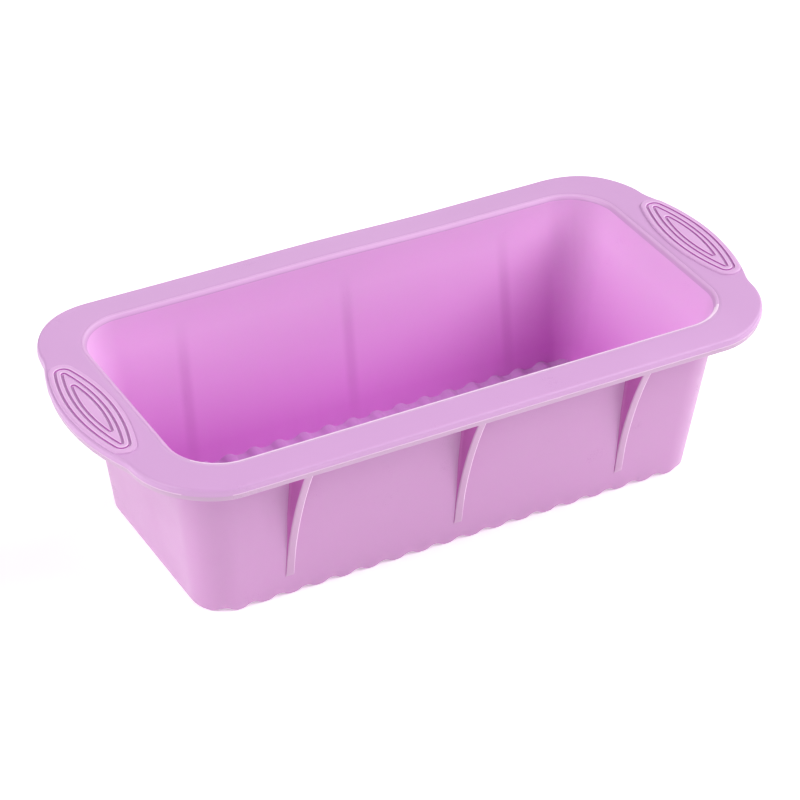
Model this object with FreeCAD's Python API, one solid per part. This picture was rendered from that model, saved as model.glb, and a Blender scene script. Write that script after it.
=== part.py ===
import FreeCAD, Part
import math
import os

from FreeCAD import Vector

# Soap loaf mould: a tapered silicone trough with a rippled floor, a wide flat rim with a grip at
# each end, and three fins under the rim on each long side. Millimetres, +X along the length,
# +Y across the width, +Z up. The origin is the middle of the plane that the mould rests on.

# ---- driving dimensions ----
HEIGHT = 65.5                   # resting plane to the flat top of the rim
WALL = 1.6                      # wall thickness, measured level

BASE_HALF_LENGTH = 95.7         # outside of the trough at the resting plane
BASE_HALF_WIDTH = 41.5
BASE_CORNER = 12.3
END_FLARE = 8.4                 # how far the end walls lean out over the full height
SIDE_FLARE = 7.7
OUTER_CORNER_GROWTH = 4.4       # the corner radii grow towards the rim
INNER_CORNER_GROWTH = 6.6

RIM_THICKNESS = 4.5
RIM_END_HALF_LENGTH = 118.0     # where the corner arcs end, beside the grip
RIM_HALF_WIDTH = 61.1
RIM_CORNER = 27.3
RIM_TOP_ROUND = 1.2             # rounding of the outer top edge
MOUTH_ROUND = 1.7               # rounding of the mouth's top edge
LEDGE_DEPTH = 0.5               # the lower band of the rim's edge is set back by this
LEDGE_HEIGHT = 1.2

GRIP_HALF_SPAN = 33.2           # the grip's arc meets the rim end at this distance from the middle
GRIP_BULGE = 7.05               # how far the arc's middle stands out past the rim end
GRIP_NOTCH = 16.2               # hollow radius that blends the arc into the rim corner

PAD_CENTRE = 115.6              # centre of the leaf-shaped grip pad along X
PAD_HALF_WIDTH = 8.2
PAD_HALF_LENGTH = 28.4
PAD_END = 4.7                   # radius of the pad's blunt ends
PAD_RAISE = 0.6                 # above the rim
PAD_INSET = 0.8                 # below the rim's top face
GROOVE_WIDTH = 0.9
GROOVE_DEPTH = 0.9
GROOVES = ((6.5, 25.7, 2.7), (4.1, 23.1, 0.6), (2.3, 15.1, 0.6))   # half width, half length, end

RIPPLE_PITCH = 9.86
RIPPLE_HEIGHT = 1.5
RIPPLE_LAND = 1.2               # flat strip at the bottom of each ripple
RIPPLE_COUNT = 26               # pitches drawn, even and enough to pass both ends of the floor
FLOOR_THICKNESS = 2.0

RIB_PITCH = 64.0
RIB_STAGGER = 1.8               # the front row stands this far to -X, the rear row to +X
RIB_THICKNESS = 3.0
RIB_FOOT = 9.0                  # height where a rib runs out on the wall
RIB_REACH = 10.2                # how far a rib stands off the wall under the rim
RIB_TOE = 0.35                  # what is left of the rib at its foot

RIM_UNDERSIDE = HEIGHT - RIM_THICKNESS
CLEAR = 5.0                     # cutting shapes run past the solids by this


def arc(centre_x, centre_y, radius, start, end, z):
    """Circular edge about a vertical axis; start and end are angles in radians."""
    def point(angle):
        return Vector(centre_x + radius * math.cos(angle), centre_y + radius * math.sin(angle), z)
    return Part.Arc(point(start), point((start + end) / 2), point(end)).toShape()


def closed_wire(edges):
    """Join consecutive edges with straight lines where their ends don't meet, and close the loop."""
    joined = []
    for index, edge in enumerate(edges):
        joined.append(edge)
        here = edge.lastVertex(True).Point
        there = edges[(index + 1) % len(edges)].firstVertex(True).Point
        if here.distanceToPoint(there) > 1e-6:
            joined.append(Part.LineSegment(here, there).toShape())
    return Part.Wire(joined)


def prism(wire, height):
    return Part.Face(wire).extrude(Vector(0, 0, height))


# ---- trough sections ----
def rounded_rectangle(half_x, half_y, radius, z):
    x = half_x - radius
    y = half_y - radius
    quarter = math.pi / 2
    return closed_wire([
        arc(x, y, radius, 0, quarter, z),
        arc(-x, y, radius, quarter, 2 * quarter, z),
        arc(-x, -y, radius, 2 * quarter, 3 * quarter, z),
        arc(x, -y, radius, 3 * quarter, 4 * quarter, z),
    ])


def outer_section(z):
    rise = z / HEIGHT
    return rounded_rectangle(
        BASE_HALF_LENGTH + END_FLARE * rise,
        BASE_HALF_WIDTH + SIDE_FLARE * rise,
        BASE_CORNER + OUTER_CORNER_GROWTH * rise,
        z,
    )


def inner_section(z):
    rise = z / HEIGHT
    return rounded_rectangle(
        BASE_HALF_LENGTH - WALL + END_FLARE * rise,
        BASE_HALF_WIDTH - WALL + SIDE_FLARE * rise,
        BASE_CORNER - WALL + INNER_CORNER_GROWTH * rise,
        z,
    )


def tapered(section, low, high):
    return Part.makeLoft([section(low), section(high)], True, True)


# ---- rippled floor ----
def ripple_edges(lift):
    """The ripple line along X: a flat land at each low, and two tangent arcs up to each crest."""
    run = (RIPPLE_PITCH - RIPPLE_LAND) / 4
    half_rise = RIPPLE_HEIGHT / 2
    radius = (run ** 2 + half_rise ** 2) / (2 * half_rise)
    middle = radius * math.sin(math.atan2(run, radius - half_rise) / 2)
    sag = radius - math.sqrt(radius ** 2 - middle ** 2)

    def arc_between(x_low, x_high, z_flat, side):
        """One quarter wave whose level end is at x_low; side is +1 from a low, -1 from a crest."""
        way = 1 if x_high > x_low else -1
        return Part.Arc(
            Vector(x_low, 0, z_flat),
            Vector(x_low + way * middle, 0, z_flat + side * sag),
            Vector(x_high, 0, z_flat + side * half_rise),
        ).toShape()

    edges = []
    for index in range(RIPPLE_COUNT):
        low = (index - RIPPLE_COUNT / 2) * RIPPLE_PITCH + RIPPLE_PITCH / 2
        rise_start = low + RIPPLE_LAND / 2
        crest = low + RIPPLE_PITCH / 2
        fall_end = low + RIPPLE_PITCH - RIPPLE_LAND / 2
        edges.append(Part.LineSegment(
            Vector(low - RIPPLE_LAND / 2, 0, lift), Vector(rise_start, 0, lift)).toShape())
        edges.append(arc_between(rise_start, rise_start + run, lift, 1))
        edges.append(arc_between(crest, crest - run, lift + RIPPLE_HEIGHT, -1))
        edges.append(arc_between(crest, crest + run, lift + RIPPLE_HEIGHT, -1))
        edges.append(arc_between(fall_end, fall_end - run, lift, 1))
    return edges


def above_ripples(lift, top):
    """Everything between the ripple line, lifted by lift, and the level top."""
    line = Part.Wire(ripple_edges(lift))
    ends = sorted((vertex.Point for vertex in line.Vertexes), key=lambda point: point.x)
    start = ends[0]
    finish = ends[-1]
    far = Vector(finish.x, 0, top)
    near = Vector(start.x, 0, top)
    loop = Part.Wire(line.Edges + [
        Part.LineSegment(finish, far).toShape(),
        Part.LineSegment(far, near).toShape(),
        Part.LineSegment(near, start).toShape(),
    ])
    half_depth = BASE_HALF_WIDTH + SIDE_FLARE + CLEAR
    face = Part.Face(loop)
    face.translate(Vector(0, -half_depth, 0))
    return face.extrude(Vector(0, 2 * half_depth, 0))


# ---- rim and grip pads ----
def notch_centre(corner_x, corner_y, grip_x, grip):
    """Centre of the notch's circle, which touches the corner's circle and the grip's from outside."""
    to_corner = RIM_CORNER + GRIP_NOTCH
    to_grip = grip + GRIP_NOTCH
    apart = math.hypot(corner_x - grip_x, corner_y)
    along = (to_grip ** 2 - to_corner ** 2 + apart ** 2) / (2 * apart)
    aside = math.sqrt(to_grip ** 2 - along ** 2)
    way_x = (corner_x - grip_x) / apart
    way_y = corner_y / apart
    return grip_x + way_x * along + way_y * aside, way_y * along - way_x * aside


def rim_outline(inset, z):
    """Rim outline, set in by inset: straight long sides, corner arcs, notches and grip arcs."""
    grip = (GRIP_HALF_SPAN ** 2 + GRIP_BULGE ** 2) / (2 * GRIP_BULGE)
    grip_x = RIM_END_HALF_LENGTH + GRIP_BULGE - grip
    corner_x = RIM_END_HALF_LENGTH - RIM_CORNER
    corner_y = RIM_HALF_WIDTH - RIM_CORNER
    notch_x, notch_y = notch_centre(corner_x, corner_y, grip_x, grip)
    grip_lean = math.atan2(notch_y, notch_x - grip_x)
    corner_lean = math.atan2(notch_y - corner_y, notch_x - corner_x)
    quarter = math.pi / 2
    edges = []
    for turn in (0, math.pi):
        side = math.cos(turn)
        back = turn + math.pi
        edges += [
            arc(side * notch_x, -side * notch_y, GRIP_NOTCH + inset,
                back - corner_lean, back - grip_lean, z),
            arc(side * grip_x, 0, grip - inset, turn - grip_lean, turn + grip_lean, z),
            arc(side * notch_x, side * notch_y, GRIP_NOTCH + inset,
                back + grip_lean, back + corner_lean, z),
            arc(side * corner_x, side * corner_y, RIM_CORNER - inset,
                turn + corner_lean, turn + quarter, z),
            arc(-side * corner_x, side * corner_y, RIM_CORNER - inset,
                turn + quarter, turn + 2 * quarter - corner_lean, z),
        ]
    return closed_wire(edges)


def leaf_wire(half_width, half_length, end, offset, z):
    """Leaf outline about the pad's centre: two long arcs and two end arcs, offset outwards."""
    end_y = half_length - end
    side = (end_y ** 2 / (half_width - end) + half_width + end) / 2
    shift = side - half_width
    lean = math.atan2(end_y, shift)
    return closed_wire([
        arc(PAD_CENTRE - shift, 0, side + offset, -lean, lean, z),
        arc(PAD_CENTRE, end_y, end + offset, lean, math.pi - lean, z),
        arc(PAD_CENTRE + shift, 0, side + offset, math.pi - lean, math.pi + lean, z),
        arc(PAD_CENTRE, -end_y, end + offset, math.pi + lean, 2 * math.pi - lean, z),
    ])


def pad_blank():
    wire = leaf_wire(PAD_HALF_WIDTH, PAD_HALF_LENGTH, PAD_END, 0, HEIGHT - PAD_INSET)
    return prism(wire, PAD_INSET + PAD_RAISE)


def mirrored(shape):
    return shape.mirror(Vector(0, 0, 0), Vector(1, 0, 0))


def make_right_grip_pad():
    pad = pad_blank()
    bottom = HEIGHT + PAD_RAISE - GROOVE_DEPTH
    for half_width, half_length, end in GROOVES:
        outside = prism(leaf_wire(half_width, half_length, end, GROOVE_WIDTH / 2, bottom), CLEAR)
        inside = prism(leaf_wire(half_width, half_length, end, -GROOVE_WIDTH / 2, bottom), CLEAR)
        pad = pad.cut(outside.cut(inside))
    return pad


def rounded_top(shape, radius, chosen):
    """Round the edges in the rim's top plane for which chosen(x, y of the edge's middle) holds."""
    edges = []
    for edge in shape.Edges:
        middle = edge.valueAt((edge.FirstParameter + edge.LastParameter) / 2)
        level = all(abs(vertex.Z - HEIGHT) < 1e-6 for vertex in edge.Vertexes)
        if level and chosen(middle.x, middle.y):
            edges.append(edge)
    return shape.makeFillet(radius, edges)


def in_mouth(x, y):
    """Whether a point lies inside the line of the wall's outside, as the mouth's edge does."""
    half_x = BASE_HALF_LENGTH + END_FLARE
    half_y = BASE_HALF_WIDTH + SIDE_FLARE
    return abs(x) < half_x and abs(y) < half_y


def make_rim_flange():
    plate = prism(rim_outline(0, RIM_UNDERSIDE + LEDGE_HEIGHT), RIM_THICKNESS - LEDGE_HEIGHT)
    plate = rounded_top(plate, RIM_TOP_ROUND, lambda x, y: True)
    ledge = prism(rim_outline(LEDGE_DEPTH, RIM_UNDERSIDE), LEDGE_HEIGHT)
    rim = plate.fuse(ledge)
    rim = rim.cut(tapered(inner_section, RIM_UNDERSIDE - CLEAR, HEIGHT + CLEAR))
    rim = rounded_top(rim, MOUTH_ROUND, in_mouth)
    pocket = pad_blank()
    return rim.cut(pocket).cut(mirrored(pocket))


# ---- trough ----
def make_side_walls():
    walls = tapered(outer_section, 0, RIM_UNDERSIDE)
    walls = walls.cut(tapered(inner_section, -CLEAR, HEIGHT))
    return walls.common(above_ripples(FLOOR_THICKNESS, HEIGHT))


def make_rippled_floor():
    slab = tapered(outer_section, 0, RIM_UNDERSIDE)
    slab = slab.common(above_ripples(0, HEIGHT / 2))
    return slab.cut(above_ripples(FLOOR_THICKNESS, HEIGHT))


# ---- ribs ----
def make_rib(centre_x, row):
    """A fin on the wall: row is -1 at the front and +1 at the rear. Its outer edge is a parabola."""
    def wall_y(z):
        return BASE_HALF_WIDTH + SIDE_FLARE * z / HEIGHT

    def point(z, reach):
        return Vector(centre_x - RIB_THICKNESS / 2, row * (wall_y(z) + reach), z)

    middle = (RIB_FOOT + RIM_UNDERSIDE) / 2
    curve = Part.BezierCurve()
    curve.setPoles([
        point(RIM_UNDERSIDE, RIB_REACH),
        point(middle, RIB_TOE),
        point(RIB_FOOT, RIB_TOE),
    ])
    profile = Part.Wire([
        curve.toShape(),
        Part.LineSegment(point(RIB_FOOT, RIB_TOE), point(RIB_FOOT, 0)).toShape(),
        Part.LineSegment(point(RIB_FOOT, 0), point(RIM_UNDERSIDE, 0)).toShape(),
        Part.LineSegment(point(RIM_UNDERSIDE, 0), point(RIM_UNDERSIDE, RIB_REACH)).toShape(),
    ])
    return Part.Face(profile).extrude(Vector(RIB_THICKNESS, 0, 0))


def make_ribs():
    ribs = {}
    for row_name, row in (("front", -1), ("rear", 1)):
        for place_name, place in (("left", -1), ("middle", 0), ("right", 1)):
            centre_x = place * RIB_PITCH + row * RIB_STAGGER
            ribs[row_name + "_" + place_name + "_rib"] = make_rib(centre_x, row)
    return ribs


def main():
    right_pad = make_right_grip_pad()
    nodes = {
        "side_walls": make_side_walls(),
        "rippled_floor": make_rippled_floor(),
        "rim_flange": make_rim_flange(),
        "right_grip_pad": right_pad,
        "left_grip_pad": mirrored(right_pad),
    }
    nodes.update(make_ribs())
    os.makedirs("parts", exist_ok=True)
    for name, shape in nodes.items():
        shape.exportStep("parts/" + name + ".step")
        box = shape.BoundBox
        print(name, "solids", len(shape.Solids), "valid", shape.isValid(), "volume", round(shape.Volume))
        print("  x %.2f %.2f  y %.2f %.2f  z %.2f %.2f" % (
            box.XMin, box.XMax, box.YMin, box.YMax, box.ZMin, box.ZMax))


main()
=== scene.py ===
import math

import bpy
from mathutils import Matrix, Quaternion, Vector


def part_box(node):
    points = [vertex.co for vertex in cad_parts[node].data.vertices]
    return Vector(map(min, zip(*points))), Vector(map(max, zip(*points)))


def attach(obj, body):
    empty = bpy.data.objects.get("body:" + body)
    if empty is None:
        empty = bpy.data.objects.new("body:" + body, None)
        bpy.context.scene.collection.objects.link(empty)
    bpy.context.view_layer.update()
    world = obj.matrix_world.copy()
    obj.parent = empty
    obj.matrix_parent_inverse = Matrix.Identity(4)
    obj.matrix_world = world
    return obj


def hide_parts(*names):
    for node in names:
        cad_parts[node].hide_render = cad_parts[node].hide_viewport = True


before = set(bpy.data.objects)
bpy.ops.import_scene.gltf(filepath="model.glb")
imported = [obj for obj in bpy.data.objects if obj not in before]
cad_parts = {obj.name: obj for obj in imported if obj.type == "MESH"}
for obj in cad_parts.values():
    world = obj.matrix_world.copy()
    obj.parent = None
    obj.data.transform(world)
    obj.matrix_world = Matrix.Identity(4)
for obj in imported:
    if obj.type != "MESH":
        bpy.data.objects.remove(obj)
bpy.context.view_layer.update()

# The mould is 250 mm long on X, 122 mm wide on Y and 66 mm high on Z. Its front is at -Y.
# Shapes are worked out in millimetres and turned into metres when a mesh is made.
MM = 0.001

# ================================================================ sizes, in millimetres
# ---- read from the CAD model ----
RIM_LOW, RIM_HIGH = (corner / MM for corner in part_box("rim_flange"))
HEIGHT = RIM_HIGH.z
RIM_UNDERSIDE = RIM_LOW.z
RIM_HALF_WIDTH = RIM_HIGH.y
GRIP_TIP = RIM_HIGH.x
RIBS = [node for node in sorted(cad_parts) if node.endswith("_rib")]

# ---- tub ----
WALL = 1.6                      # at the mouth; the lean below makes it thicker at the floor
FLOOR_TOP = 1.3                 # lower than the CAD's 2.0, where the real floor shows
TOE_IN = 2.6                    # how much further in the inner wall is at the floor
CREASE = 0.15                   # from the floor's corner to the rows that keep it crisp
BASE_HALF_LENGTH = 95.7         # outside, at the base
BASE_HALF_WIDTH = 41.5
BASE_CORNER = 12.3
BASE_EDGE = 0.35                # round along the base's edge
END_FLARE = 8.4                 # how much further out an end wall is at the top
SIDE_FLARE = 7.7
OUTER_CORNER_GROWTH = 4.4       # how much larger a corner's radius is at the top
INNER_CORNER_GROWTH = 6.6
WALL_TO_RIM = 1.6               # round where the wall meets the rim's underside
MOUTH_ROUND = 1.7
TONGUE_REACH = 6.0              # a tongue of the tub goes this far into the rim
TONGUE_DEEP = 0.25              # and stays this far below its surfaces

# ---- floor's ripples ----
RIPPLE_PITCH = 9.86
RIPPLE_HEIGHT = 1.5
RIPPLE_LAND = 1.2
RIPPLE_FADE_LEFT = (87.5, 99.0)     # from where to where the ripples flatten out
RIPPLE_FADE_RIGHT = (83.0, 94.5)

# ---- rim ----
RIM_END_HALF_LENGTH = 118.0     # to where the ends would be without their grips
RIM_CORNER = 27.3
GRIP_HALF_SPAN = 33.2
GRIP_NOTCH = 16.2               # radius of the hollow beside a grip
RIM_SHOULDER = 1.0
MOUTH_OVERLAP = 0.4             # how far behind the tub's inner face the rim's own wall is
LEDGE_HEIGHT = 1.9
LEDGE_DEPTH = 0.3
LEDGE_ROUND = 0.35
PARTING_LINE = RIM_UNDERSIDE + LEDGE_HEIGHT
PARTING_FLASH = 0.22
FLASH_PROFILE = (               # share of the flash's reach, height over the parting line
    (0.0, 0.30),
    (0.5, 0.22),
    (1.0, 0.14),
    (1.0, 0.04),
    (0.3, -0.06),
)
FLASH_GAP = (-101.9, -57.5)     # the front left corner, where the flash is trimmed off
FLASH_GAP_FADE = (6.5, 10.5)

# ---- how the soft rim sits ----
REAR_WAVES = (                  # height, centre on X, width
    (0.35, -10, 26),
    (-0.45, 42, 24),
    (-0.25, 82, 22),
)
REAR_SAG = 0.4
FRONT_SAG = 0.8
RIGHT_END_LIFT = 0.7
LEFT_END_DROP = 0.3
STIFF_BELOW = 30.0              # the wall keeps still below this height

# ---- grip pads ----
PAD_CENTRE = 115.7
PAD_EDGE = (8.6, 28.5, 4.7)     # half width, half length, radius of the leaf's ends
PAD_GROOVES = ((6.5, 25.7, 2.7), (4.1, 23.1, 0.6), (2.3, 15.1, 0.6))
PAD_TOP = 0.6
PAD_BURIED = 0.5
PAD_PROFILE = (                 # outset and height of the pad's rounded edge
    (0.0, 0.0),
    (-0.05, 0.3),
    (-0.17, 0.47),
    (-0.36, 0.57),
    (-0.6, PAD_TOP),
)
GROOVE_DEPTH = 0.95
GROOVE_HALF = 0.45
GROOVE_PROFILE = (              # place in half widths, height in depths, from the edge to the middle
    (1.75, 0.0),
    (1.4, -0.03),
    (1.15, -0.12),
    (1.0, -0.3),
    (0.9, -0.7),
    (0.6, -0.95),
    (0.0, -1.0),
)
SHARPEST_LEAF = 0.02

# ---- ribs ----
RIB_REACH = 10.2                # out from the wall at the rim
RIB_TOE = 0.35                  # and at the foot
RIB_THICKNESS = 3.0
RIB_FILLET = 0.9
RIB_NOSE = 0.5
RIB_SUNK = 0.6                  # the root is this far inside the wall
RIB_TAIL = 1.2                  # the toe dies away over this much below the CAD's foot
RIB_INTO_RIM = 0.3

# ---- mesh resolution ----
SIDE_STEPS = 17 * 20            # along a long side, twenty to a ripple
CORNER_STEPS = 20
END_STEPS = 48
OUTER_ROWS = 24
INNER_ROWS = 36
LIP_ROWS = 10
FLOOR_ROWS = 8
RIM_ROWS = 10
RIB_ROWS = 60
FILLET_STEPS = 5
NOSE_STEPS = 4

# ================================================================ materials' places on a piece
OUTSIDE, INSIDE, GROUND, LIP, LIP_HIGHLIGHT, LIP_LINE_HIGHLIGHT = range(6)
LIP_HIGHLIGHT_ROWS = 6               # rows of the lip along the front that carry a painted highlight
LIP_LINE_HIGHLIGHT_ROWS = (2, 3)          # rows with a faint painted highlight all round
RIM_TOP, RIM_FLASH_HIGHLIGHT, RIM_BAND_SHADE = range(3)
FLASH_SHOWS = 0.4               # least share of the flash that carries the painted highlight
PAD_FACE, PAD_GROOVE_SHADE, PAD_RIDGE_HIGHLIGHT = range(3)
RIB_FACE, RIB_HIGHLIGHT, RIB_SIDE_SHADE = range(3)

# ================================================================ looks
WALL_COLOUR = (0.59, 0.303, 0.565)
# lighter than the outside of the same silicone: painted light for the light that comes through the
# thin walls into the hollow
INNER_LIT_COLOUR = (0.90, 0.51, 0.88)
DEEP_SHADE_TINT = (0.77, 0.42, 0.76)      # times the inner colour, down at the floor: painted shade of the hollow
FLOOR_COLOUR = (0.56, 0.25, 0.58)
LIP_COLOUR = (0.70, 0.39, 0.70)
# faint painted highlight on two rows of the lip all round
LIP_LINE_HIGHLIGHT_COLOUR = (0.73, 0.44, 0.73)
RIM_COLOUR = (0.63, 0.35, 0.64)
# the flash is real geometry; its lighter colour is a painted highlight
FLASH_HIGHLIGHT_COLOUR = (0.76, 0.53, 0.74)
# painted shade: greyer and darker on the ledge below the parting line
BAND_SHADE_COLOUR = (0.58, 0.37, 0.56)
PAD_COLOUR = (0.70, 0.40, 0.70)
# painted shade in the bottoms of the pad's grooves
GROOVE_SHADE_COLOUR = (0.44, 0.06, 0.41)
# painted highlight along the edges of the pad's grooves
RIDGE_HIGHLIGHT_COLOUR = (0.82, 0.57, 0.82)
RIB_COLOUR = (0.57, 0.34, 0.54)
# painted shade on the ribs' sides and root fillets
RIB_SIDE_SHADE_COLOUR = (0.54, 0.15, 0.46)
# painted highlight, along the front of the mouth's lip and along the ribs' +X edges
PAINTED_HIGHLIGHT_COLOUR = (0.88, 0.66, 0.86)
RIB_SHADE_COLOUR = (0.45, 0.12, 0.42, 1)
RIB_SHADE = 0.22                # how strongly a rib shows through the wall
SPECK_COLOUR = (0.20, 0.07, 0.19, 1)
SPECK_STRENGTH = 0.55

# texture scales, in features to a metre
MOTTLE_SCALE = 26
WEAR_SCALE = 60
SPECK_SCALE = 95
SKIN_SCALE = 3100
SKIN_RELIEF = 0.00006           # depth of the skin's bumps in metres

SILICONE_IOR = 1.41
SCATTER_RADIUS = (1.0, 0.5, 0.9)
TUB_SCATTER = 0.0015            # depth of the scatter in metres
RIB_SCATTER = 0.001
SKIN_SCATTER = 0.0005
SHEEN = 0.12
DULL_SPECULAR = 0.2             # where there is no sheen, in grooves and between ribs

# ================================================================ lights, floor and camera
# name, azimuth and elevation in degrees, size in metres, power in watts
LIGHTS = (
    ("left_back", -115, 35, 1.35, 13.0),
    ("left", -85, 40, 1.35, 24.0),
    ("left_high", -85, 60, 1.35, 5.0),
    ("front_right", 50, 38, 1.35, 38.0),
    ("right", 105, 32, 1.35, 20.0),
    ("back", 160, 9, 0.9, 4.0),
)
LIGHT_DISTANCE = 2.2
LIGHT_TARGET = (0, 0, 0.03)
WORLD = 0.02

STAGE_HALF_SIZE = 6.0
STAGE_GAP = 0.0002              # the floor is this far below the mould, so that no faces coincide
STAGE_WHITE = (0.95, 0.95, 0.95, 1)
FLOOR_GLOW = 0.31

CAMERA_AZIMUTH = -29.28
CAMERA_ELEVATION = 33.77
CAMERA_ROLL = 0.81
CAMERA_DISTANCE = 1.1003
CAMERA_TARGET = (-0.0005, 0.0010, 0.0323)
CAMERA_SENSOR = 36.0
CAMERA_LENS = 143.3


# ================================================================ numbers and meshes
def blend(a, b, share):
    return a + (b - a) * share


def clamp(share):
    return min(1.0, max(0.0, share))


def ramp(value, start, stop):
    """0 before start, 1 after stop, smooth between."""
    share = clamp((value - start) / (stop - start))
    return share * share * (3 - 2 * share)


def bump(x, centre, width):
    return math.exp(-((x - centre) / width) ** 2)


def quarter_turn(steps, first=1):
    """Sines and cosines of evenly spaced angles up to a right angle."""
    angles = [index / steps * math.pi / 2 for index in range(first, steps + 1)]
    return [(math.sin(angle), math.cos(angle)) for angle in angles]


def between(plan, other, share):
    """A plan part of the way from one plan to another."""
    return [(blend(a, c, share), blend(b, d, share)) for (a, b), (c, d) in zip(plan, other)]


def new_piece(name, points, faces, materials):
    """A smooth-shaded mesh object from points in millimetres."""
    mesh = bpy.data.meshes.new(name)
    mesh.from_pydata([(x * MM, y * MM, z * MM) for x, y, z in points], [], faces)
    mesh.validate()
    mesh.polygons.foreach_set("use_smooth", [True] * len(mesh.polygons))
    for material in materials:
        mesh.materials.append(material)
    piece = bpy.data.objects.new(name, mesh)
    bpy.context.scene.collection.objects.link(piece)
    return piece


def loft(loops, caps=False, ring=False):
    """Points and faces through closed loops; caps close the ends, ring joins them to each other."""
    count = len(loops[0])
    points = [point for loop in loops for point in loop]
    faces = []
    pairs = len(loops) if ring else len(loops) - 1
    for row in range(pairs):
        low = row * count
        high = ((row + 1) % len(loops)) * count
        for index in range(count):
            after = (index + 1) % count
            faces.append((low + index, low + after, high + after, high + index))
    if caps:
        faces.append(tuple(reversed(range(count))))
        faces.append(tuple(range((len(loops) - 1) * count, len(loops) * count)))
    return points, faces


# ================================================================ outlines
def stations():
    """Places round the mould, anticlockwise from the left of the front, that every loop shares.

    Each has a kind, a place along that side, corner or end, and the signs of X and Y there.
    """
    def steps(count):
        return [index / count for index in range(count)]

    found = [("side", 2 * share - 1, 1, -1) for share in steps(SIDE_STEPS)]
    found += [("corner", share, 1, -1) for share in steps(CORNER_STEPS)]
    found += [("end", 2 * share - 1, 1, 1) for share in steps(END_STEPS)]
    found += [("corner", 1 - share, 1, 1) for share in steps(CORNER_STEPS)]
    found += [("side", 1 - 2 * share, 1, 1) for share in steps(SIDE_STEPS)]
    found += [("corner", share, -1, 1) for share in steps(CORNER_STEPS)]
    found += [("end", 1 - 2 * share, -1, 1) for share in steps(END_STEPS)]
    found += [("corner", 1 - share, -1, -1) for share in steps(CORNER_STEPS)]
    return found


STATIONS = stations()
ROUND = len(STATIONS)


def rounded_rectangle(half_x, half_y, radius):
    """Plan points at every station of a rectangle with rounded corners."""
    points = []
    for kind, place, sign_x, sign_y in STATIONS:
        if kind == "side":
            points.append((place * (half_x - radius), sign_y * half_y))
        elif kind == "end":
            points.append((sign_x * half_x, place * (half_y - radius)))
        else:
            angle = place * math.pi / 2
            x = half_x - radius + radius * math.sin(angle)
            y = half_y - radius + radius * math.cos(angle)
            points.append((sign_x * x, sign_y * y))
    return points


def outer_plan(z, outset=0.0):
    """The tub's outside at a height."""
    rise = z / HEIGHT
    return rounded_rectangle(
        BASE_HALF_LENGTH + END_FLARE * rise + outset,
        BASE_HALF_WIDTH + SIDE_FLARE * rise + outset,
        BASE_CORNER + OUTER_CORNER_GROWTH * rise + outset,
    )


def inner_plan(z, outset=0.0):
    """The tub's inside at a height, before it leans in."""
    rise = z / HEIGHT
    return rounded_rectangle(
        BASE_HALF_LENGTH - WALL + END_FLARE * rise + outset,
        BASE_HALF_WIDTH - WALL + SIDE_FLARE * rise + outset,
        BASE_CORNER - WALL + INNER_CORNER_GROWTH * rise + outset,
    )


def notch_centre(grip, grip_x, corner_x, corner_y):
    """Centre of the hollow arc that touches a rim corner's arc and the grip's arc."""
    to_corner = RIM_CORNER + GRIP_NOTCH
    to_grip = grip + GRIP_NOTCH
    apart = math.hypot(corner_x - grip_x, corner_y)
    along = (to_grip ** 2 - to_corner ** 2 + apart ** 2) / (2 * apart)
    aside = math.sqrt(to_grip ** 2 - along ** 2)
    way_x = (corner_x - grip_x) / apart
    way_y = corner_y / apart
    return grip_x + way_x * along + way_y * aside, way_y * along - way_x * aside


def rim_plan(inset=0.0):
    """The rim's outline: straight sides, corner arcs, hollow notches and the grips' arcs."""
    bulge = GRIP_TIP - RIM_END_HALF_LENGTH
    grip = (GRIP_HALF_SPAN ** 2 + bulge ** 2) / (2 * bulge)
    grip_x = GRIP_TIP - grip
    corner_x = RIM_END_HALF_LENGTH - RIM_CORNER
    corner_y = RIM_HALF_WIDTH - RIM_CORNER
    notch_x, notch_y = notch_centre(grip, grip_x, corner_x, corner_y)
    grip_lean = math.atan2(notch_y, notch_x - grip_x)
    corner_lean = math.atan2(notch_y - corner_y, notch_x - corner_x)
    end_y = corner_y + (RIM_CORNER - inset) * math.sin(corner_lean)
    turn_y = (grip - inset) * math.sin(grip_lean)
    points = []
    for kind, place, sign_x, sign_y in STATIONS:
        if kind == "side":
            points.append((place * corner_x, sign_y * (RIM_HALF_WIDTH - inset)))
        elif kind == "corner":
            angle = blend(math.pi / 2, corner_lean, place)
            x = corner_x + (RIM_CORNER - inset) * math.cos(angle)
            y = corner_y + (RIM_CORNER - inset) * math.sin(angle)
            points.append((sign_x * x, sign_y * y))
        else:
            y = place * end_y
            if abs(y) < turn_y:
                x = grip_x + math.sqrt((grip - inset) ** 2 - y ** 2)
            else:
                x = notch_x - math.sqrt((GRIP_NOTCH + inset) ** 2 - (notch_y - abs(y)) ** 2)
            points.append((sign_x * x, y))
    return points


def ripple(x):
    """Height of the floor's ripples, whose crests are two tangent arcs between flat lands."""
    run = (RIPPLE_PITCH - RIPPLE_LAND) / 4
    half_rise = RIPPLE_HEIGHT / 2
    radius = (run ** 2 + half_rise ** 2) / (2 * half_rise)
    from_crest = abs((x / RIPPLE_PITCH + 0.5) % 1 - 0.5) * RIPPLE_PITCH
    from_land = RIPPLE_PITCH / 2 - RIPPLE_LAND / 2 - from_crest
    if from_land <= 0:
        return 0.0
    if from_land < run:
        height = radius - math.sqrt(radius ** 2 - from_land ** 2)
    else:
        height = RIPPLE_HEIGHT - radius + math.sqrt(radius ** 2 - from_crest ** 2)
    fade = RIPPLE_FADE_RIGHT if x > 0 else RIPPLE_FADE_LEFT
    return height * (1 - ramp(abs(x), *fade))


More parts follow.
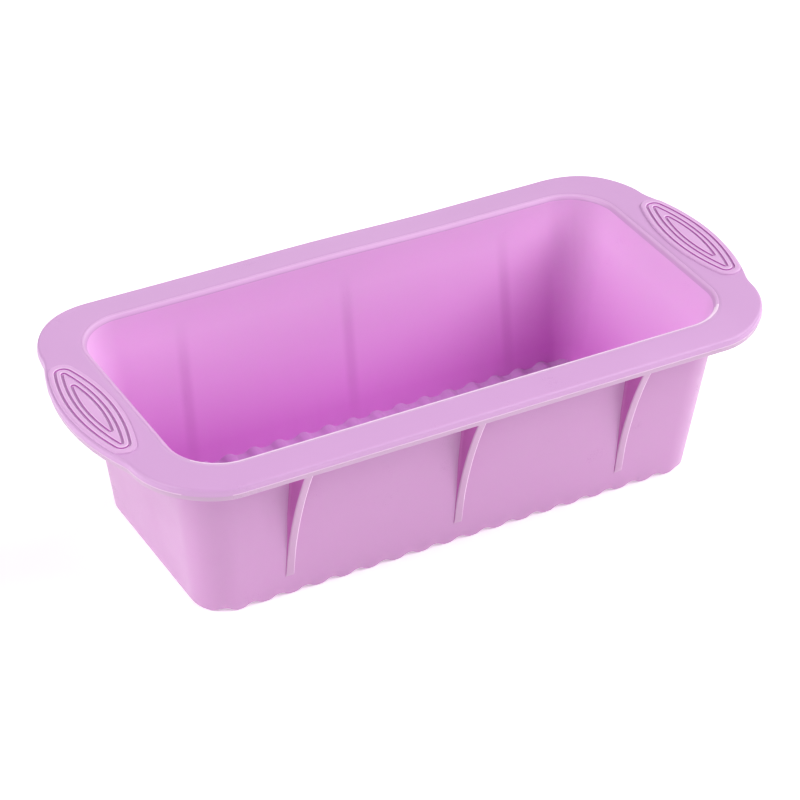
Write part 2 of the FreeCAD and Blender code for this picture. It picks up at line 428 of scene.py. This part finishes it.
def rim_lift(x, y, share):
    """How much higher the soft rim sits than flat; share is 0 at the mouth and 1 at the edge."""
    along_side = ramp(abs(y), 30, 52) * (1 - ramp(abs(x), 92, 112))
    if y > 0:
        wave = sum(height * bump(x, centre, width) for height, centre, width in REAR_WAVES)
        sag = REAR_SAG * share
    else:
        wave = 0.0
        sag = FRONT_SAG * share ** 1.5
    right_end = RIGHT_END_LIFT * ramp(x, 98, 120) * (1 - ramp(y, 25, 50))
    left_end = LEFT_END_DROP * ramp(-x, 100, 122)
    return along_side * (wave - sag) + (right_end - left_end)


# ================================================================ tub
def wall_loop(plan_at, heights, outset=0.0, share=0.0):
    """A loop whose points each lie on the sloping wall at their own height."""
    foot = plan_at(0.0, outset)
    head = plan_at(HEIGHT, outset)
    loop = []
    for (x0, y0), (x1, y1), z in zip(foot, head, heights):
        x = blend(x0, x1, z / HEIGHT)
        y = blend(y0, y1, z / HEIGHT)
        give = ramp(z, STIFF_BELOW, RIM_UNDERSIDE)
        loop.append((x, y, z + rim_lift(x, y, share) * give))
    return loop


def level_loop(plan_at, z, outset=0.0, share=0.0):
    return wall_loop(plan_at, [z] * ROUND, outset, share)


def outside_loops():
    """From the base's rounded edge up the outside, and out to the rim's underside."""
    waves = [ripple(x) for x, y in outer_plan(0.0)]
    top = RIM_UNDERSIDE - WALL_TO_RIM
    loops = []
    for sine, cosine in quarter_turn(4, first=0):
        heights = [wave + BASE_EDGE * (1 - cosine) for wave in waves]
        loops.append(wall_loop(outer_plan, heights, -BASE_EDGE * (1 - sine)))
    for index in range(1, OUTER_ROWS + 1):
        heights = [blend(BASE_EDGE + wave, top, index / OUTER_ROWS) for wave in waves]
        loops.append(wall_loop(outer_plan, heights))
    for sine, cosine in quarter_turn(6):
        z = RIM_UNDERSIDE - WALL_TO_RIM * (1 - sine)
        loops.append(level_loop(outer_plan, z, WALL_TO_RIM * (1 - cosine)))
    return loops


def tongue_loops():
    """A tongue let into the rim, so that the lip is as thick as the real one."""
    return [
        level_loop(outer_plan, RIM_UNDERSIDE + TONGUE_DEEP, WALL_TO_RIM),
        level_loop(outer_plan, RIM_UNDERSIDE + TONGUE_DEEP, TONGUE_REACH),
        level_loop(outer_plan, HEIGHT - TONGUE_DEEP, TONGUE_REACH, 0.5),
        level_loop(inner_plan, HEIGHT - TONGUE_DEEP, MOUTH_ROUND),
        level_loop(inner_plan, HEIGHT, MOUTH_ROUND),
    ]


def inside_loops():
    """Over the lip and down the inside, which leans in, to just inside the floor's edge."""
    loops = []
    for sine, cosine in quarter_turn(LIP_ROWS):
        z = HEIGHT - MOUTH_ROUND * (1 - cosine)
        loops.append(level_loop(inner_plan, z, MOUTH_ROUND * (1 - sine)))
    waves = [ripple(x) for x, y in inner_plan(FLOOR_TOP, -TOE_IN)]

    def down(share):
        heights = [blend(HEIGHT - MOUTH_ROUND, wave + FLOOR_TOP, share) for wave in waves]
        return wall_loop(inner_plan, heights, -TOE_IN * share)

    loops += [down(index / INNER_ROWS) for index in range(1, INNER_ROWS)]
    # a row close by on the wall and one on the floor keep the corner between them crisp
    loops.append(wall_loop(inner_plan, [wave + FLOOR_TOP + CREASE for wave in waves], -TOE_IN))
    loops.append(down(1.0))
    waves = [ripple(x) for x, y in inner_plan(FLOOR_TOP, -TOE_IN - CREASE)]
    loops.append(wall_loop(inner_plan, [wave + FLOOR_TOP for wave in waves], -TOE_IN - CREASE))
    return loops


def fill_floor(points, faces, first, lift, flip):
    """Close the loop that starts at point first with a rippled sheet, facing down if flip is true."""
    rear = 2 * SIDE_STEPS + 2 * CORNER_STEPS + END_STEPS
    columns = []
    for place in range(-CORNER_STEPS, SIDE_STEPS + CORNER_STEPS + 1):
        front_point = first + place % ROUND
        rear_point = first + (rear - place) % ROUND
        x = points[front_point][0]
        column = [front_point]
        for row in range(1, FLOOR_ROWS):
            y = blend(points[front_point][1], points[rear_point][1], row / FLOOR_ROWS)
            points.append((x, y, ripple(x) + lift))
            column.append(len(points) - 1)
        column.append(rear_point)
        columns.append(column)
    for left, right in zip(columns, columns[1:]):
        for row in range(FLOOR_ROWS):
            face = (left[row], right[row], right[row + 1], left[row + 1])
            faces.append(tuple(reversed(face)) if flip else face)
    # a face of no width along each end joins the last column to the wall's finer points
    for column, start, way in (
        (columns[-1], SIDE_STEPS + CORNER_STEPS, 1),
        (columns[0], -CORNER_STEPS, -1),
    ):
        chain = [first + (start + way * step) % ROUND for step in range(END_STEPS + 1)]
        polygon = chain + list(reversed(column[1:-1]))
        if (way == 1) == flip:
            polygon.reverse()
        faces.append(tuple(polygon))


def build_tub(materials):
    """Walls, rippled floor and the lip round the mouth, in one closed skin."""
    loops = outside_loops() + tongue_loops()
    lip_row = len(loops) - 1
    loops += inside_loops()
    points, faces = loft(loops)
    floor_first = len(faces) - ROUND
    fill_floor(points, faces, (len(loops) - 1) * ROUND, FLOOR_TOP, flip=False)
    floor_last = len(faces)
    fill_floor(points, faces, 0, 0.0, flip=True)
    tub = new_piece("silicone_tub", points, faces, materials)

    def place(face):
        row = face.index // ROUND - lip_row
        if row < 0 or face.index >= floor_last:
            return OUTSIDE
        if face.index >= floor_first:
            return GROUND
        if row >= LIP_ROWS - 1:
            return INSIDE
        # a painted highlight along the front of the lip
        if (face.center / MM).y < -BASE_HALF_WIDTH and row < LIP_HIGHLIGHT_ROWS:
            return LIP_HIGHLIGHT
        # and a faint painted highlight on two rows all round
        return LIP_LINE_HIGHLIGHT if row in LIP_LINE_HIGHLIGHT_ROWS else LIP

    for face in tub.data.polygons:
        face.material_index = place(face)
    return tub


# ================================================================ rim
def flash_share(x, y):
    """How far the parting line's flash stands out: beaded all round, and trimmed off at one corner."""
    bead = 0.75 + 0.25 * math.sin(2.1 * x + 1.3 * y) * math.sin(0.83 * x - 1.9 * y)
    gap_x, gap_y = FLASH_GAP
    return bead * ramp(math.hypot(x - gap_x, y - gap_y), *FLASH_GAP_FADE)


def flash_plan(reach):
    """The rim's outline, moved out by the flash's share at each place."""
    return [
        (blend(x0, x1, flash_share(x0, y0)), blend(y0, y1, flash_share(x0, y0)))
        for (x0, y0), (x1, y1) in zip(rim_plan(), rim_plan(-PARTING_FLASH * reach))
    ]


def top_rows():
    """Mouth wall, flat top and shoulder, each row a plan, its height and its share of the sag."""
    rows = [(inner_plan(z, MOUTH_OVERLAP), z, 0.0) for z in (RIM_UNDERSIDE, HEIGHT - MOUTH_ROUND)]
    mouth = inner_plan(HEIGHT, MOUTH_ROUND)
    edge = rim_plan(RIM_SHOULDER)
    for index in range(RIM_ROWS + 1):
        share = index / RIM_ROWS
        rows.append((between(mouth, edge, share), HEIGHT, share))
    for sine, cosine in quarter_turn(8):
        plan = rim_plan(RIM_SHOULDER * (1 - sine))
        rows.append((plan, HEIGHT - RIM_SHOULDER * (1 - cosine), 1.0))
    return rows


def flash_rows():
    """The thin edge that stands out along the parting line."""
    return [(flash_plan(reach), PARTING_LINE + rise, 1.0) for reach, rise in FLASH_PROFILE]


def band_rows():
    """The ledge below the parting line, down to a small round at the underside."""
    return [(rim_plan(inset), z, 1.0) for inset, z in (
        (LEDGE_DEPTH * 0.8, PARTING_LINE - 0.1),
        (LEDGE_DEPTH, PARTING_LINE - 0.2),
        (LEDGE_DEPTH, RIM_UNDERSIDE + LEDGE_ROUND),
        (LEDGE_DEPTH + 0.1, RIM_UNDERSIDE + 0.1),
        (LEDGE_DEPTH + LEDGE_ROUND, RIM_UNDERSIDE),
    )]


def underside_rows():
    """Back to the wall along the underside."""
    outline = rim_plan(LEDGE_DEPTH + LEDGE_ROUND)
    root = outer_plan(RIM_UNDERSIDE, WALL_TO_RIM)
    shares = (0.25, 0.5, 0.75, 1.0)
    return [(between(outline, root, share), RIM_UNDERSIDE, 1.0 - share) for share in shares]


def build_rim(materials):
    """The rim flange, one closed ring from the mouth over the top and edge and back underneath."""
    rows = top_rows()
    flash_first = len(rows)
    rows += flash_rows()
    flash_last = len(rows) - 1
    rows += band_rows()
    band_last = len(rows) - 1
    rows += underside_rows()
    loops = [[(x, y, z + rim_lift(x, y, share)) for x, y in plan] for plan, z, share in rows]
    points, faces = loft(loops, ring=True)
    flange = new_piece("rim_flange_skin", points, faces, materials)
    for face in flange.data.polygons:
        row = face.index // ROUND
        centre = face.center / MM
        # painted highlight on the flash where it stands out enough
        if flash_first <= row < flash_last and flash_share(centre.x, centre.y) > FLASH_SHOWS:
            face.material_index = RIM_FLASH_HIGHLIGHT
        # painted shade on the ledge below the parting line
        elif flash_last <= row < band_last:
            face.material_index = RIM_BAND_SHADE
    return flange


# ================================================================ grip pads
def leaf_plan(centre, half_width, half_length, end, side_steps=44, end_steps=12):
    """Leaf outline about a centre on X: two long arcs and two end arcs."""
    end = max(end, SHARPEST_LEAF)
    end_y = half_length - end
    side = (end_y ** 2 / (half_width - end) + half_width + end) / 2
    shift = side - half_width
    lean = math.atan2(end_y, shift)
    points = []
    for centre_x, centre_y, radius, start, stop, steps in (
        (centre - shift, 0.0, side, -lean, lean, side_steps),
        (centre, end_y, end, lean, math.pi - lean, end_steps),
        (centre + shift, 0.0, side, math.pi - lean, math.pi + lean, side_steps),
        (centre, -end_y, end, math.pi + lean, 2 * math.pi - lean, end_steps),
    ):
        for index in range(steps):
            angle = blend(start, stop, index / steps)
            x = centre_x + radius * math.cos(angle)
            y = centre_y + radius * math.sin(angle)
            points.append((x, y))
    return points


def build_pad(side, name, materials):
    """A raised leaf pad with three grooves, let into the rim's top."""
    loops = []

    def add(leaf, outset, height):
        half_width, half_length, end = leaf
        plan = leaf_plan(PAD_CENTRE, half_width + outset, half_length + outset, end + outset)
        loop = [(side * x, y, HEIGHT + height + rim_lift(side * x, y, 0.5)) for x, y in plan]
        loops.append(loop if side > 0 else list(reversed(loop)))

    add(PAD_EDGE, 0.0, -PAD_BURIED)
    for outset, height in PAD_PROFILE:
        add(PAD_EDGE, outset, height)
    down = [(spread * GROOVE_HALF, drop) for spread, drop in GROOVE_PROFILE]
    up = [(-spread * GROOVE_HALF, drop) for spread, drop in reversed(GROOVE_PROFILE[:-1])]
    # painted shade down in each groove
    groove_shade_rows = []
    # painted highlight on the rows along each groove's edges
    ridge_highlight_rows = []
    for groove in PAD_GROOVES:
        start = len(loops)
        for outset, drop in down + up:
            add(groove, outset, PAD_TOP + drop * GROOVE_DEPTH)
        stop = len(loops)
        groove_shade_rows += range(start + 3, stop - 4)
        ridge_highlight_rows += (start, start + 1, stop - 3, stop - 2)
    points, faces = loft(loops, caps=True)
    pad = new_piece(name, points, faces, materials)
    count = len(loops[0])
    for face in pad.data.polygons:
        row = face.index // count
        if row in groove_shade_rows:
            face.material_index = PAD_GROOVE_SHADE
        elif row in ridge_highlight_rows:
            face.material_index = PAD_RIDGE_HIGHLIGHT
    return pad


# ================================================================ ribs
def rib_section(reach):
    """Points across the rib and out from the wall, from one root fillet over the nose to the other."""
    half = RIB_THICKNESS / 2
    fillet = min(RIB_FILLET, max(0.0, reach) * 0.3)
    nose = min(RIB_NOSE, max(0.05, reach * 0.6))
    section = [(-half - fillet, -RIB_SUNK)]
    for sine, cosine in quarter_turn(FILLET_STEPS, first=0):
        section.append((-half - fillet * (1 - sine), fillet * (1 - cosine)))
    section.append((-half, max(fillet, reach - nose)))
    for sine, cosine in quarter_turn(NOSE_STEPS):
        section.append((-half + nose * (1 - cosine), reach - nose * (1 - sine)))
    return section + [(-x, out) for x, out in reversed(section)]


def rib_reach(z, low):
    """How far the rib stands out at a height: less and less downwards, and nothing below its toe."""
    drop = clamp((RIM_UNDERSIDE - z) / (RIM_UNDERSIDE - low))
    reach = RIB_TOE + (RIB_REACH - RIB_TOE) * (1 - drop) ** 2
    foot = low - RIB_TAIL
    fade = clamp((z - foot) / (low + 1.0 - foot))
    return blend(-0.3, reach, math.sin(fade * math.pi / 2))


def build_rib(node, materials):
    """A fin between the wall and the rim, with painted shade on both sides and a painted highlight
    along its +X edge.
    """
    low, high = (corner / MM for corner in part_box(node))
    centre_x = (low.x + high.x) / 2
    front = high.y < 0
    row = -1 if front else 1
    loops = []
    for index in range(RIB_ROWS + 1):
        z = blend(RIM_UNDERSIDE + RIB_INTO_RIM, low.z - RIB_TAIL, index / RIB_ROWS)
        wall_y = BASE_HALF_WIDTH + SIDE_FLARE * z / HEIGHT
        section = rib_section(rib_reach(z, low.z))
        loop = [(centre_x + x, row * (wall_y + out), z) for x, out in section]
        loops.append(loop if front else list(reversed(loop)))
    points, faces = loft(loops, caps=True)
    rib = new_piece(node + "_skin", points, faces, materials)

    # columns of faces round the section: side, nose, outer face, nose, side and root
    count = len(loops[0])
    side = FILLET_STEPS + 2
    outer = side + NOSE_STEPS
    far_side = outer + 1 + NOSE_STEPS
    # painted highlight on the +X nose
    highlight_columns = range(outer + 1, far_side) if front else range(side, outer)
    # painted shade on both sides and their root fillets
    for face in list(rib.data.polygons)[:RIB_ROWS * count]:
        column = face.index % count
        if column in highlight_columns:
            face.material_index = RIB_HIGHLIGHT
        elif column < side or far_side <= column < count - 1:
            face.material_index = RIB_SIDE_SHADE
    return rib


# ================================================================ materials
class Graph:
    """Short ways to add and join nodes in one material."""

    def __init__(self, name):
        self.material = bpy.data.materials.new(name)
        self.material.use_nodes = True
        self.tree = self.material.node_tree
        self.tree.nodes.clear()

    def node(self, kind, **settings):
        made = self.tree.nodes.new(kind)
        for key, value in settings.items():
            setattr(made, key, value)
        return made

    def feed(self, socket, source):
        """Link a socket to another, or set it to a number."""
        if hasattr(source, "is_linked"):
            self.tree.links.new(source, socket)
        else:
            socket.default_value = source

    def math(self, operation, first, second=0.0):
        made = self.node("ShaderNodeMath", operation=operation)
        self.feed(made.inputs[0], first)
        self.feed(made.inputs[1], second)
        return made.outputs[0]

    def noise(self, vector, scale, detail):
        made = self.node("ShaderNodeTexNoise")
        self.feed(made.inputs["Vector"], vector)
        made.inputs["Scale"].default_value = scale
        made.inputs["Detail"].default_value = detail
        return made.outputs["Fac"]

    def spread(self, value, low, high, to_low, to_high, smooth=False):
        made = self.node("ShaderNodeMapRange")
        if smooth:
            made.interpolation_type = "SMOOTHSTEP"
        for socket, source in zip(made.inputs, (value, low, high, to_low, to_high)):
            self.feed(socket, source)
        return made.outputs[0]

    def mix(self, share, first, second):
        made = self.node("ShaderNodeMix", data_type="RGBA")
        self.feed(made.inputs[0], share)
        self.feed(made.inputs[6], first)
        self.feed(made.inputs[7], second)
        return made.outputs[2]

    def axes(self, vector):
        made = self.node("ShaderNodeSeparateXYZ")
        self.feed(made.inputs[0], vector)
        return made.outputs


def specks(graph, place):
    """1 on pinholes and dust, a few tenths of a millimetre wide and a few centimetres apart."""
    cells = graph.node("ShaderNodeTexVoronoi")
    cells.inputs["Scale"].default_value = SPECK_SCALE
    graph.feed(cells.inputs["Vector"], place)
    parts = graph.node("ShaderNodeSeparateColor")
    graph.feed(parts.inputs[0], cells.outputs["Color"])
    chosen = graph.math("GREATER_THAN", parts.outputs[0], 0.80)
    size = graph.spread(parts.outputs[1], 0.0, 1.0, 0.014, 0.034)
    within = graph.math("LESS_THAN", cells.outputs["Distance"], size)
    return graph.math("MULTIPLY", chosen, within)


def rib_shade(graph, place):
    """1 where a rib stands behind the wall, for the shade that it gives through the silicone."""
    x, y, z = graph.axes(place)
    total = 0.0
    for node in RIBS:
        low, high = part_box(node)
        away = graph.math("SUBTRACT", x, (low.x + high.x) / 2)
        away = graph.math("ABSOLUTE", away)
        line = graph.spread(away, 0.0005, 0.0034, 1.0, 0.0, smooth=True)
        own_row = graph.math("GREATER_THAN" if high.y > 0 else "LESS_THAN", y, 0.0)
        total = graph.math("MAXIMUM", total, graph.math("MULTIPLY", line, own_row))
    on_side = graph.spread(graph.math("ABSOLUTE", y), 0.036, 0.040, 0.0, 1.0)
    below_rim = graph.spread(z, 0.040, 0.058, 1.0, 0.0)
    return graph.math("MULTIPLY", graph.math("MULTIPLY", total, on_side), below_rim)


def inside_tint(graph, place, tint, colour):
    """The inside's colour: painted shade that deepens towards the floor, with the ribs' shade and a
    few specks.
    """
    depth = graph.spread(graph.axes(place)[2], 0.008, 0.052, 1.0, 0.0)
    # painted shade: darker and deeper in colour from the mouth down to the floor
    deep_shade = tuple(channel * share for channel, share in zip(colour, DEEP_SHADE_TINT)) + (1,)
    tint = graph.mix(depth, tint, deep_shade)
    shade = graph.math("MULTIPLY", rib_shade(graph, place), RIB_SHADE)
    tint = graph.mix(shade, tint, RIB_SHADE_COLOUR)
    dust = graph.math("MULTIPLY", specks(graph, place), SPECK_STRENGTH)
    return graph.mix(dust, tint, SPECK_COLOUR)


def add_skin(graph, shader, place):
    """A satin skin: fine grain in roughness and relief, and slightly uneven wear."""
    skin = graph.noise(place, SKIN_SCALE, 2)
    wear = graph.noise(place, WEAR_SCALE, 4)
    grain = graph.spread(skin, 0.3, 0.7, -0.04, 0.04)
    rubbed = graph.spread(wear, 0.3, 0.7, 0.29, 0.41)
    graph.feed(shader.inputs["Roughness"], graph.math("ADD", grain, rubbed))
    relief = graph.node("ShaderNodeBump")
    relief.inputs["Strength"].default_value = 0.2
    relief.inputs["Distance"].default_value = SKIN_RELIEF
    graph.feed(relief.inputs["Height"], graph.math("MULTIPLY", skin, 0.6))
    graph.feed(shader.inputs["Normal"], relief.outputs["Normal"])


def silicone(name, colour, softness=0.0, scatter=SKIN_SCATTER, inside=False, sheen=SHEEN):
    """Satin silicone: faint mottling, a fine skin and, where softness isn't 0, a scattering body."""
    graph = Graph(name)
    out = graph.node("ShaderNodeOutputMaterial")
    shader = graph.node("ShaderNodeBsdfPrincipled")
    graph.feed(out.inputs["Surface"], shader.outputs["BSDF"])
    place = graph.node("ShaderNodeTexCoord").outputs["Object"]

    light = tuple(min(1.0, channel * 1.02) for channel in colour) + (1,)
    dark = tuple(channel * 0.98 for channel in colour) + (1,)
    tint = graph.mix(graph.noise(place, MOTTLE_SCALE, 3), dark, light)
    if inside:
        tint = inside_tint(graph, place, tint, colour)
    graph.feed(shader.inputs["Base Color"], tint)

    add_skin(graph, shader, place)
    shader.inputs["IOR"].default_value = SILICONE_IOR
    shader.inputs["Subsurface Weight"].default_value = softness
    shader.inputs["Subsurface Radius"].default_value = SCATTER_RADIUS
    shader.inputs["Subsurface Scale"].default_value = scatter
    shader.inputs["Sheen Weight"].default_value = sheen
    shader.inputs["Sheen Roughness"].default_value = 0.5
    if sheen == 0.0:
        shader.inputs["Specular IOR Level"].default_value = DULL_SPECULAR
    return graph.material


# ================================================================ pieces
def tub_skins():
    return (
        silicone("lilac_silicone", WALL_COLOUR, 0.3, TUB_SCATTER),
        silicone("lilac_silicone_inside", INNER_LIT_COLOUR, 0.25, TUB_SCATTER, inside=True),
        silicone("lilac_silicone_floor", FLOOR_COLOUR, 0.3),
        silicone("mouth_lip", LIP_COLOUR),
        silicone("mouth_lip_highlight", PAINTED_HIGHLIGHT_COLOUR),
        silicone("mouth_lip_line_highlight", LIP_LINE_HIGHLIGHT_COLOUR),
    )


def rim_skins():
    return (
        silicone("lilac_silicone_rim", RIM_COLOUR),
        silicone("thin_flash_highlight", FLASH_HIGHLIGHT_COLOUR),
        silicone("rim_lower_band_shade", BAND_SHADE_COLOUR),
    )


def pad_skins():
    return (
        silicone("pad_silicone", PAD_COLOUR),
        silicone("pad_groove_shade", GROOVE_SHADE_COLOUR, sheen=0.0),
        silicone("pad_ridge_highlight", RIDGE_HIGHLIGHT_COLOUR),
    )


def rib_skins():
    return (
        silicone("lilac_silicone_rib", RIB_COLOUR, 0.4, RIB_SCATTER),
        silicone("rib_edge_highlight", PAINTED_HIGHLIGHT_COLOUR, 0.2),
        silicone("rib_side_shade", RIB_SIDE_SHADE_COLOUR, sheen=0.0),
    )


def build_pieces():
    """Every visible piece; together they stand for all the CAD nodes."""
    tub = build_tub(tub_skins())
    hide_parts("side_walls", "rippled_floor")

    flange = build_rim(rim_skins())
    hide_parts("rim_flange")
    made = [tub, flange]

    skins = pad_skins()
    for side, node in ((-1, "left_grip_pad"), (1, "right_grip_pad")):
        pad = build_pad(side, node + "_skin", skins)
        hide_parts(node)
        made.append(pad)

    skins = rib_skins()
    for node in RIBS:
        rib = build_rib(node, skins)
        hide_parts(node)
        made.append(rib)

    for piece in made:
        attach(piece, "root")


# ================================================================ scene
def direction(azimuth, elevation):
    """Unit vector from the mould towards a light or camera, from angles in degrees."""
    around = math.radians(azimuth)
    up = math.radians(elevation)
    return Vector((
        math.sin(around) * math.cos(up),
        -math.cos(around) * math.cos(up),
        math.sin(up),
    ))


def build_lights():
    for name, azimuth, elevation, size, power in LIGHTS:
        data = bpy.data.lights.new(name, "AREA")
        data.shape = "SQUARE"
        data.size = size
        data.energy = power
        light = bpy.data.objects.new(name, data)
        way = direction(azimuth, elevation)
        light.location = way * LIGHT_DISTANCE + Vector(LIGHT_TARGET)
        light.rotation_euler = way.to_track_quat("Z", "Y").to_euler()
        bpy.context.scene.collection.objects.link(light)
    world = bpy.data.worlds.new("studio")
    world.use_nodes = True
    background = world.node_tree.nodes["Background"]
    background.inputs["Color"].default_value = (1, 1, 1, 1)
    background.inputs["Strength"].default_value = WORLD
    bpy.context.scene.world = world


def build_stage():
    """A plain white floor with a faint glow of its own, so that it stays pale in the shadows."""
    half = STAGE_HALF_SIZE
    corners = [(-half, -half, 0), (half, -half, 0), (half, half, 0), (-half, half, 0)]
    mesh = bpy.data.meshes.new("floor")
    mesh.from_pydata(corners, [], [(0, 1, 2, 3)])
    floor = bpy.data.objects.new("floor", mesh)
    floor.location.z = -STAGE_GAP
    bpy.context.scene.collection.objects.link(floor)
    material = bpy.data.materials.new("pale_floor")
    material.use_nodes = True
    shader = material.node_tree.nodes["Principled BSDF"]
    shader.inputs["Base Color"].default_value = STAGE_WHITE
    shader.inputs["Roughness"].default_value = 0.9
    shader.inputs["Emission Color"].default_value = (1, 1, 1, 1)
    shader.inputs["Emission Strength"].default_value = FLOOR_GLOW
    mesh.materials.append(material)


def build_camera():
    back = direction(CAMERA_AZIMUTH, CAMERA_ELEVATION)
    data = bpy.data.cameras.new("camera")
    data.sensor_width = CAMERA_SENSOR
    data.lens = CAMERA_LENS
    data.clip_start = 0.05
    camera = bpy.data.objects.new("camera", data)
    camera.location = Vector(CAMERA_TARGET) + back * CAMERA_DISTANCE
    roll = Quaternion(back, math.radians(CAMERA_ROLL))
    camera.rotation_mode = "QUATERNION"
    camera.rotation_quaternion = roll @ back.to_track_quat("Z", "Y")
    bpy.context.scene.collection.objects.link(camera)
    bpy.context.scene.camera = camera


build_pieces()
build_stage()
build_camera()
build_lights()
bpy.context.scene.view_settings.view_transform = "Standard"
bpy.context.scene.cycles.use_denoising = True
